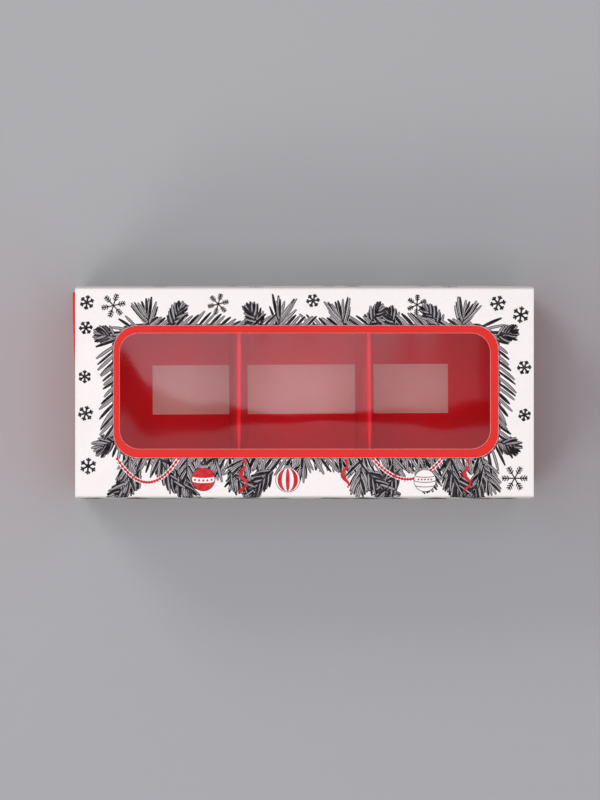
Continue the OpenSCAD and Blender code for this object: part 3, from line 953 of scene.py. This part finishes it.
def fringe(start, end, pitch, length, slant, jitter=3.0):
    # needles side by side that rise from behind the border, between two shares of its outline that
    # count from the middle of the right side anticlockwise
    count = int((end - start) * borderRun[-1] / pitch)
    share = np.linspace(start, end, count, endpoint=False) * borderRun[-1] + rng.normal(0, 0.08, count)
    place = np.stack([np.interp(share, borderRun, borderLine[:, k]) for k in (0, 1)], -1)
    ahead = np.stack([np.interp(share + 0.4, borderRun, borderLine[:, k])
                      - np.interp(share - 0.4, borderRun, borderLine[:, k]) for k in (0, 1)], -1)
    outward = np.arctan2(-ahead[..., 0], ahead[..., 1])
    swing = slant + 7 * np.sin(np.arange(count) / 2.7) + rng.normal(0, jitter, count)
    size = length * (0.86 + 0.2 * np.sin(np.arange(count) / 1.9 + start * 40)) * rng.uniform(0.9, 1.1, count)
    addNeedles(place[:, 0] - 0.5 * np.cos(outward), place[:, 1] - 0.5 * np.sin(outward),
               outward + np.radians(swing), size + 0.5, inks["needleWidth"] * rng.uniform(0.85, 1.15, count),
               rng.normal(0.05, 0.03, count) * np.sign(slant), inks["halo"])


def layNeedles():
    # every needle is lenses, one on the other: a white edge that parts it from its neighbours, black,
    # and on every second one a grey middle. Half width = width/2 times sin(pi (0.06 + 0.86 t)) to
    # the power 0.55
    rows = np.concatenate(needles)
    order = np.arange(len(rows)) % inks["turns"] * 3 * layer
    u, v, angle, length, width, bend, halo = rows.T
    tipV = v + length * np.sin(angle)
    folds = [(topFront + frontHead) / 2, (topBack + backHead) / 2]
    crosses = np.any([(np.minimum(v, tipV) < fold + 2.2) & (np.maximum(v, tipV) > fold - 2.2)
                      for fold in folds], axis=0)
    for chosen, stations in ((~crosses, 6), (crosses, 17)):
        t = np.linspace(0, 1, stations)
        along = length[chosen, None] * t
        aside = bend[chosen, None] * length[chosen, None] * t * t
        cosA, sinA = np.cos(angle[chosen])[:, None], np.sin(angle[chosen])[:, None]
        line = np.stack([u[chosen, None] + along * cosA - aside * sinA,
                         v[chosen, None] + along * sinA + aside * cosA], -1)
        lens = np.sin(np.pi * (0.06 + 0.86 * t)) ** 0.55
        half = width[chosen, None] / 2
        lift = order[chosen]
        edged = halo[chosen] > 0
        cored = np.flatnonzero(chosen) % 2 == 0
        addLines("white", line[edged], (half + inks["halo"])[edged] * lens, lift[edged])
        addLines("black", line, half * lens, lift + layer)
        first, last = (1, stations - 1) if stations > 8 else (0, stations)
        addLines("grey", line[cored, first:last], (half[cored] - inks["outline"]) * lens[first:last] ** 1.6,
                 (lift + 2 * layer)[cored])


def snowflake(u, v, radius, turn=0.0, fine=True):
    # six arms; on each, pairs of twigs that lean on by 48 degrees, shorter towards the tip
    arms = np.radians(turn + 60 * np.arange(6))
    direction = np.stack([np.cos(arms), np.sin(arms)], -1)
    centre = np.array([u, v])
    thick = 0.15 if fine else 0.23
    ends = centre + direction * radius
    addLines("black", np.stack([np.tile(centre, (6, 1)), (centre + ends) / 2, ends], 1),
             np.full((6, 3), thick), over)
    spots = ((0.42, 0.27), (0.61, 0.29), (0.8, 0.24)) if fine else ((0.58, 0.38),)
    for place, size in spots:
        for side in (-1, 1):
            lean = arms + side * np.radians(48)
            start = centre + direction * radius * place
            stop = start + np.stack([np.cos(lean), np.sin(lean)], -1) * radius * size
            addLines("black", np.stack([start, (start + stop) / 2, stop], 1),
                     np.full((6, 3), thick * 0.9), over + layer)
    if not fine:
        addDots("black", centre[None], radius * 0.26, over + 2 * layer)


def ellipse(u, v, rx, ry, count=25, squeeze=1.0):
    # upper and lower half of an ellipse, both from left to right
    angle = np.linspace(np.pi, 0, count)
    x, y = u + rx * np.cos(angle), np.sin(angle)
    return np.stack([x, v + ry * y], -1), np.stack([x, v - ry * squeeze * y], -1)


def ballOrnament(u, v, radius, kind):
    # hanging ball: cap, loop and string, and one of four plain patterns
    top = over + 4 * layer
    upper, lower = ellipse(u, v, radius, radius)
    fill = "red" if kind in ("ring", "stars") else "white"
    addPatch("black", *ellipse(u, v, radius + 0.14, radius + 0.14), top)
    addPatch(fill, upper, lower, top + layer)
    if kind == "ring":  # red ball, a white band with red dots
        x = np.linspace(-1, 1, 25)
        edge = np.sqrt(np.clip(1 - x ** 2, 0, 1))
        bow = -0.18 * edge
        high = np.stack([u + radius * x, v + radius * np.minimum(bow + 0.28, edge)], -1)
        low = np.stack([u + radius * x, v + radius * np.maximum(bow - 0.16, -edge)], -1)
        addPatch("white", high, low, top + 2 * layer)
        spots = np.linspace(-0.72, 0.72, 5)
        level = 0.06 - 0.18 * np.sqrt(1 - spots ** 2)
        addDots("red", np.stack([u + radius * spots, v + radius * level], -1), radius * 0.1, top + 3 * layer)
    elif kind == "stars":  # red ball strewn with white dots
        spots = np.array([(-0.5, 0.3), (0.05, 0.55), (0.5, 0.2), (-0.1, 0.02), (-0.55, -0.3), (0.35, -0.35),
                          (-0.1, -0.62)]) * radius
        addDots("white", spots + (u, v), radius * 0.11, top + 2 * layer)
    elif kind == "gores":  # white ball with red gores between meridians
        t = np.linspace(-1, 1, 25)
        for west, east in ((-0.86, -0.5), (-0.17, 0.17), (0.5, 0.86)):
            bulge = np.sqrt(np.clip(1 - t ** 2, 0, 1))
            left = np.stack([u + radius * west * bulge, v + radius * t * 0.98], -1)
            rightSide = np.stack([u + radius * east * bulge, v + radius * t * 0.98], -1)
            addPatch("red", left, rightSide, top + 2 * layer, 4)
    else:  # white ball with black rings drawn round it
        for level in (-0.45, 0.0, 0.45):
            x = np.linspace(-1, 1, 19) * math.sqrt(1 - level ** 2)
            y = level - 0.16 * np.sqrt(np.clip(1 - level ** 2 - x ** 2, 0, 1))
            addLines("black", np.stack([u + radius * x, v + radius * y], -1)[None],
                     np.full((1, 19), 0.09), top + 2 * layer)
        spots = np.linspace(-0.6, 0.6, 5)
        addDots("red", np.stack([u + radius * spots, np.full(5, v + radius * 0.1)], -1), radius * 0.09,
                top + 3 * layer)
    cap = np.linspace(-0.24, 0.24, 7) * radius
    addPatch("grey", np.stack([u + cap, np.full(7, v + radius * 1.22)], -1),
             np.stack([u + cap, np.full(7, v + radius * 0.97)], -1), top + 3 * layer, 4)
    angle = np.linspace(0, 2 * np.pi, 15)
    addLines("black", np.stack([u + 0.2 * radius * np.cos(angle), v + radius * (1.38 + 0.18 * np.sin(angle))],
                               -1)[None], np.full((1, 15), 0.08), top + 3 * layer)


def hangString(u, v, top):
    # thin string from v up to top
    line = np.stack([np.full(25, u), np.linspace(v, top, 25)], -1)
    addLines("black", line[None], np.full((1, 25), 0.08), over + 3 * layer)


def bow(u, v, size):
    # two loops and two tails of ribbon: radius = size times |sin 2a| on the loops
    angle = np.linspace(0.02, np.pi / 2 - 0.02, 21)
    for side in (-1, 1):
        reach = size * np.sin(2 * angle)
        loop = np.stack([u + side * reach * np.cos(angle * 0.7 - 0.1),
                         v + reach * np.sin(angle * 0.9 - 0.25)], -1)
        addLines("red", loop[None], np.full((1, 21), size * 0.13), over + 11 * layer)
        t = np.linspace(0, 1, 17)
        drop = 1.15 * t - 0.25 * np.sin(3 * t)
        tail = np.stack([u + side * size * (0.15 + 0.55 * t), v - size * drop], -1)
        addLines("red", tail[None], (size * (0.09 + 0.07 * t))[None], over + 10 * layer)
    addDots("red", np.array([[u, v]]), size * 0.22, over + 12 * layer)


def curl(u, v, length, sway, turns=2.0, width=0.5):
    # hanging ribbon that turns over: width follows the size of the cosine of its phase
    t = np.linspace(0, 1, 61)
    phase = 2 * np.pi * turns * t
    line = np.stack([u + sway * np.sin(phase) * (0.4 + 0.6 * t), v - length * t], -1)
    half = width * (0.35 + 0.65 * np.abs(np.cos(phase / 2 + 0.6)))
    addLines("red", line[None], half[None], over + 9 * layer)


def beads(start, end, drop, pitch=0.78, radius=0.4):
    # string of beads hanging in a curve: straight line minus drop times 4 t (1 - t)
    (u0, v0), (u1, v1) = start, end
    count = int(math.hypot(u1 - u0, v1 - v0, 1.6 * drop) / pitch)
    t = np.linspace(0, 1, count)
    line = np.stack([u0 + (u1 - u0) * t, v0 + (v1 - v0) * t - drop * 4 * t * (1 - t)], -1)
    addLines("white", line[None], np.full((1, count), radius + 0.1), over)
    addLines("red", line[None], np.full((1, count), 0.16), over + layer)
    addDots("red", line, radius, over + 2 * layer)


def printTop():
    # fringe all round the window, that leans to the middle of each side from both of its ends
    for start, end, pitch, length, slant in (
            (0.58, 0.92, 1.6, 3.6, 4), (0.0, 0.08, 1.36, 5.6, -40), (0.08, 0.25, 1.4, 4.7, 46),
            (0.25, 0.42, 1.4, 4.7, -46), (0.42, 0.58, 1.36, 5.6, 41), (0.58, 0.75, 1.2, 5.8, -27),
            (0.75, 0.92, 1.2, 5.8, 27), (0.92, 1.0, 1.36, 5.6, -40)):
        fringe(start, end, pitch, length, slant)
    # darkness at the needles' feet
    thick = 0.55 + 0.25 * np.sin(borderRun / 1.3) * np.sin(borderRun / 3.1)
    addLines("black", borderLine[None], thick[None], -2 * layer)
    # fans and bushy twigs along the back edge of the border and at its corners
    for u, tilt, length, needle, pairs, spread in (
            (-40.5, 104, 2.6, 6.4, 5, 36), (-35, 58, 5.2, 3.4, 9, 54), (-11.5, 122, 5.0, 3.4, 9, 54),
            (-7, 76, 2.4, 6.6, 5, 36), (10.5, 106, 2.6, 6.4, 5, 36), (16.5, 56, 5.0, 3.4, 9, 54),
            (24, 118, 3.6, 3.2, 7, 54), (35.5, 124, 5.2, 3.4, 9, 54), (41, 78, 2.6, 6.4, 5, 36)):
        sprig(u, 17.2, tilt, length, needle, pairs, rng.uniform(-12, 12), spread,
              inks["halo"] if pairs < 6 else 0.0)
    for u, v, tilt, length, needle in ((-49.4, 14.6, 168, 3.6, 3.4), (50.2, 14.8, 12, 3.8, 3.4),
                                       (-49.6, -12.6, 200, 3.8, 3.6), (50.6, -12.8, 340, 4.0, 3.6)):
        sprig(u, v, tilt, length, needle, 9, rng.uniform(-10, 10), 50)
    for u, v, radius, turn, fine in (
            (-50.0, 22.8, 3.2, 12, True), (-56.9, 23.6, 1.9, 20, False), (-57.2, 17.0, 1.8, 6, False),
            (-57.5, 4.2, 1.7, 30, False), (-57.3, -5.4, 2.0, 14, False), (-56.6, -19.2, 2.2, 26, False),
            (-22.6, 23.2, 2.8, 14, True), (2.2, 24.1, 1.8, 8, False), (29.4, 23.0, 2.7, 26, True),
            (50.6, 23.4, 2.1, 10, False), (56.6, 20.4, 2.2, 22, False), (57.5, 6.6, 1.9, 4, False),
            (57.6, -5.8, 1.7, 18, False), (55.0, -22.4, 3.4, 0, True)):
        snowflake(u, v, radius, turn, fine)


def printFront():
    # garland that hangs over the front fold: sprigs in two depths, then beads, ribbons and balls
    for number, u in enumerate(np.linspace(-46, 46, 13)):
        if number in (5, 7):
            continue
        short = number in (3, 6, 9)
        sprig(u, -16.4, 270 + rng.uniform(-30, 30), 2.6 if short else rng.uniform(6, 8), 5.4,
              5 if short else 9, rng.uniform(-16, 16), 40, 0.0 if number % 2 else inks["halo"])
    for u, v, tilt, length, needle, pairs in (
            (-43, -20, 234, 8.5, 5.0, 11), (-34, -20, 304, 8.5, 5.0, 11), (-20, -20, 312, 7.5, 4.8, 10),
            (-8.5, -20, 226, 7.0, 4.8, 9), (16, -20, 305, 8.5, 5.0, 11), (25, -20, 230, 7.5, 4.8, 10),
            (38, -20, 298, 8.0, 5.0, 10), (46, -20, 262, 7.5, 4.8, 10)):
        sprig(u, v, tilt, length, needle, pairs, rng.uniform(-18, 18), 40)
    fold = (topFront + frontHead) / 2
    for number, u in enumerate(np.linspace(-54, 54, 12)):
        sprig(u, fold - 2.5 + 1.5 * math.sin(number * 2.1), 262 + rng.uniform(-30, 36), rng.uniform(8, 13),
              5.4, 13, rng.uniform(-18, 18), 40, 0.0 if number % 2 else inks["halo"])
    beads((-49, -17.3), (-33, -17.2), 6.2)
    beads((-52, -33), (-24, -31), 8.5)
    beads((18, -17.3), (36, -17.2), 5.4)
    beads((10, -32), (44, -33), 9.0)
    for u, v, length, sway, turns in ((-16, -17.4, 8.6, 1.1, 1.7), (10.6, -17.4, 7.4, 1.0, 1.4),
                                      (42.5, -17.4, 8.0, 1.0, 1.6), (-33, -34, 17, 1.5, 2.4),
                                      (3, -33, 15, 1.4, 2.2), (49, -34, 16, 1.3, 2.2)):
        curl(u, v, length, sway, turns)
    for u, v, radius, kind in ((-26.5, -22.6, 3.0, "ring"), (-4.4, -22.8, 3.1, "gores"),
                               (31.5, -23.0, 2.8, "rings"), (-44, -50, 4.4, "stars"),
                               (-18, -45, 4.0, "gores"),
                               (-6, -55, 4.6, "ring"), (19, -49, 4.6, "rings"), (37, -55, 4.2, "stars")):
        hangString(u, v + radius * 1.5, -17.2 if v > -30 else fold - 2)
        ballOrnament(u, v, radius, kind)
    for u, v, size in ((-44, -42.6, 2.2), (19, -41.2, 2.2)):
        bow(u, v, size)
    for u, v, radius, turn, fine in (
            (-53, -66, 3.6, 8, True), (-30, -69, 2.4, 20, False), (-16, -72, 3.2, 0, True),
            (6, -71, 2.2, 12, False), (28, -70, 3.6, 24, True), (52, -62, 2.5, 6, False),
            (48, -75, 2.0, 30, False), (-40, -78, 1.9, 10, False), (-30, -50, 2.0, 14, False),
            (8, -43, 1.8, 6, False), (52, -47, 2.8, 18, True), (-55, -44, 1.9, 0, False)):
        snowflake(u, v, radius, turn, fine)


def printBack():
    # a plainer row of sprigs that stand up from the back face's lower fold, and snow above it
    low = backFoot - 0.5
    for u in np.linspace(-54, 54, 15):
        sprig(u, low, 270 + rng.uniform(-32, 32), rng.uniform(8, 14), 5.4, 13, rng.uniform(-16, 16), 40,
              inks["halo"])
    for number, u in enumerate(np.linspace(-51, 51, 9)):
        height = 9 if number % 2 else 22
        snowflake(u, backHead + height + 3 * math.sin(number * 1.7), 2.3 if number % 2 else 3.6,
                  number * 13.0, not number % 2)
        if number < 8:
            snowflake(u + 6.5, backHead + 28 - height * 0.5 + 4 * math.sin(number * 2.9), 1.8, u * 3.0, False)


def inkMaterial(name, colour):
    # ink on board: a little thinner here and there, with the board's fibres under it
    s = Shader(name)
    fibre = s.noise(whitePaper["fibreScale"], 4, 0.6, stretch=(0.45, 1.0, 1.0))
    thin = tuple(c + (w - c) * 0.04 for c, w in zip(colour[:3], whitePaper["colour"][:3])) + (1.0,)
    s.link(s.blend(s.span(s.noise(600, 2, 0.5), 0.35, 0.7), colour, thin), s.surface.inputs["Base Color"])
    s.link(s.span(fibre, 0.2, 0.8, 0.42, 0.56), s.surface.inputs["Roughness"])
    s.surface.inputs["Specular IOR Level"].default_value = 0.06
    s.link(s.bump(fibre, whitePaper["fineBump"]), s.surface.inputs["Normal"])
    return s.material


def makePrint():
    printTop()
    printFront()
    printBack()
    layNeedles()
    for ink, strokes in inkStrokes.items():
        starts = np.cumsum([0] + [len(points) for points, _ in strokes[:-1]])
        points = np.concatenate([points for points, _ in strokes])
        cells = np.concatenate([cells + start for (_, cells), start in zip(strokes, starts)])
        material = paperWhite if ink == "white" else inkMaterial(f"{ink} ink", inks[ink])
        piece = makePiece(f"print_{ink}", points, cells, [material])
        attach(piece, "sleeve")
        print("print", ink, len(cells) * 2, "triangles")


makePrint()

# floor and light
studio = {
    "floor": linear(174, 173, 174), "horizon": 0.14, "zenith": 0.785,
    "lamps": [  # place, size, watts
        ((-0.95, -0.95, 1.35), (0.6, 0.6), 5.4),
        ((-0.95, 1.0, 1.35), (0.6, 0.6), 6.7),
    ],
    # card over the camera, that the film mirrors: bright, with a dark bar and a dimmer part beside it
    "card": {"reach": 450.0, "bright": 1.36, "far": 0.48, "bar": 0.03, "dim": 0.58, "end": 0.2,
             "round": 4.4, "edge": 0.5},
}


def floorMaterial():
    s = Shader("studio floor")
    cloud = s.noise(3, 2, 0.5)
    r, g, b, _ = studio["floor"]
    s.link(s.blend(s.span(cloud, 0.3, 0.7), (r, g, b, 1), (r * 0.97, g * 0.97, b * 0.975, 1)),
           s.surface.inputs["Base Color"])
    s.surface.inputs["Roughness"].default_value = 0.85
    s.surface.inputs["Specular IOR Level"].default_value = 0.2
    s.link(s.bump(s.noise(900, 3, 0.6), 0.00003), s.surface.inputs["Normal"])
    return s.material


def makeFloor():
    t = np.linspace(-4000, 4000, 9)
    x, y = np.meshgrid(t, t, indexing="ij")
    points = np.stack([x, y, np.zeros_like(x)], -1).reshape(-1, 3)
    faces = faceTowards(points, gridFaces(*x.shape), (0, 0, 1))
    makePiece("floor", points, faces, [floorMaterial()])


def addLamp(name, place, size, watts, aim=(0, 0, 0.03)):
    lamp = bpy.data.lights.new(name, "AREA")
    lamp.shape = "RECTANGLE"
    lamp.size, lamp.size_y = size
    lamp.energy = watts
    holder = bpy.data.objects.new(name, lamp)
    scene.collection.objects.link(holder)
    holder.location = place
    direction = Vector(aim) - holder.location
    holder.rotation_euler = direction.to_track_quat("-Z", "Y").to_euler()
    return holder


def makeWorld():
    # light = horizon + (zenith - horizon) times the cosine of the angle from straight up, a little
    # brighter from the left
    world = bpy.data.worlds.new("studio")
    scene.world = world
    world.use_nodes = True
    tree = world.node_tree
    background = tree.nodes["Background"]
    place = tree.nodes.new("ShaderNodeTexCoord")
    split = tree.nodes.new("ShaderNodeSeparateXYZ")
    up = tree.nodes.new("ShaderNodeMapRange")
    across = tree.nodes.new("ShaderNodeMapRange")
    both = tree.nodes.new("ShaderNodeMath")
    both.operation = "MULTIPLY"
    tree.links.new(place.outputs["Generated"], split.inputs[0])
    tree.links.new(split.outputs["Z"], up.inputs["Value"])
    tree.links.new(split.outputs["X"], across.inputs["Value"])
    up.inputs["From Min"].default_value, up.inputs["From Max"].default_value = 0, 1
    up.inputs["To Min"].default_value = studio["horizon"]
    up.inputs["To Max"].default_value = studio["zenith"]
    across.inputs["From Min"].default_value, across.inputs["From Max"].default_value = -1, 1
    across.inputs["To Min"].default_value, across.inputs["To Max"].default_value = 1.2, 0.74
    tree.links.new(up.outputs["Result"], both.inputs[0])
    tree.links.new(across.outputs["Result"], both.inputs[1])
    tree.links.new(both.outputs["Value"], background.inputs["Strength"])
    background.inputs["Color"].default_value = (1, 1, 1, 1)


def makeCard():
    # glow over the card: bright to the back, dark along the bar, dimmer to the front, darker past the
    # right end, and brightest all round outside the part that the film mirrors; each edge is a
    # smooth step
    c, f = studio["card"], film
    line = np.concatenate([np.linspace(-c["reach"], -60, 14), np.linspace(-58, 58, 117),
                           np.linspace(60, 180, 61), np.linspace(190, c["reach"], 12)])
    soft = c["edge"] * np.array([-1, -0.4, 0, 0.4, 1])
    across = np.unique(np.concatenate([line, f["barHigh"] + soft, f["barLow"] + soft]))
    x, y = np.meshgrid(line, across, indexing="ij")
    bright = c["bright"] + (c["far"] - c["bright"]) * smoothStep(x, 30, 118)
    glow = bright + (c["end"] - bright) * smoothStep(x + 0.35 * y, 122, 128)
    pastBar = smoothStep(-y, -f["barLow"] - c["edge"], -f["barLow"] + c["edge"])
    below = c["bar"] + (c["dim"] - c["bar"]) * pastBar
    glow = below + (glow - below) * smoothStep(y, f["barHigh"] - c["edge"], f["barHigh"] + c["edge"])
    mirrored = (1 - smoothStep(np.abs(x - 30), 180, 240)) * (1 - smoothStep(np.abs(y + 10), 110, 170))
    glow = c["round"] + (glow - c["round"]) * mirrored
    level = np.full_like(x, carton["height"] + f["mirrorHeight"])
    points = np.stack([x, y, level], -1).reshape(-1, 3)
    faces = faceTowards(points, gridFaces(*x.shape), (0, 0, -1))
    s = Shader("card over the camera")
    light = s.node("ShaderNodeEmission")
    light.inputs["Color"].default_value = (0.97, 1.0, 1.13, 1)
    s.link(s.attribute("glow"), light.inputs["Strength"])
    s.link(light.outputs[0], s.tree.nodes["Material Output"].inputs["Surface"])
    card = makePiece("mirrored_card", points, faces, [s.material], floats={"glow": glow.ravel()})


makeFloor()
for number, (place, size, watts) in enumerate(studio["lamps"]):
    addLamp(f"lamp_{number}", place, size, watts)
makeCard()
makeWorld()
print("floor and light made")
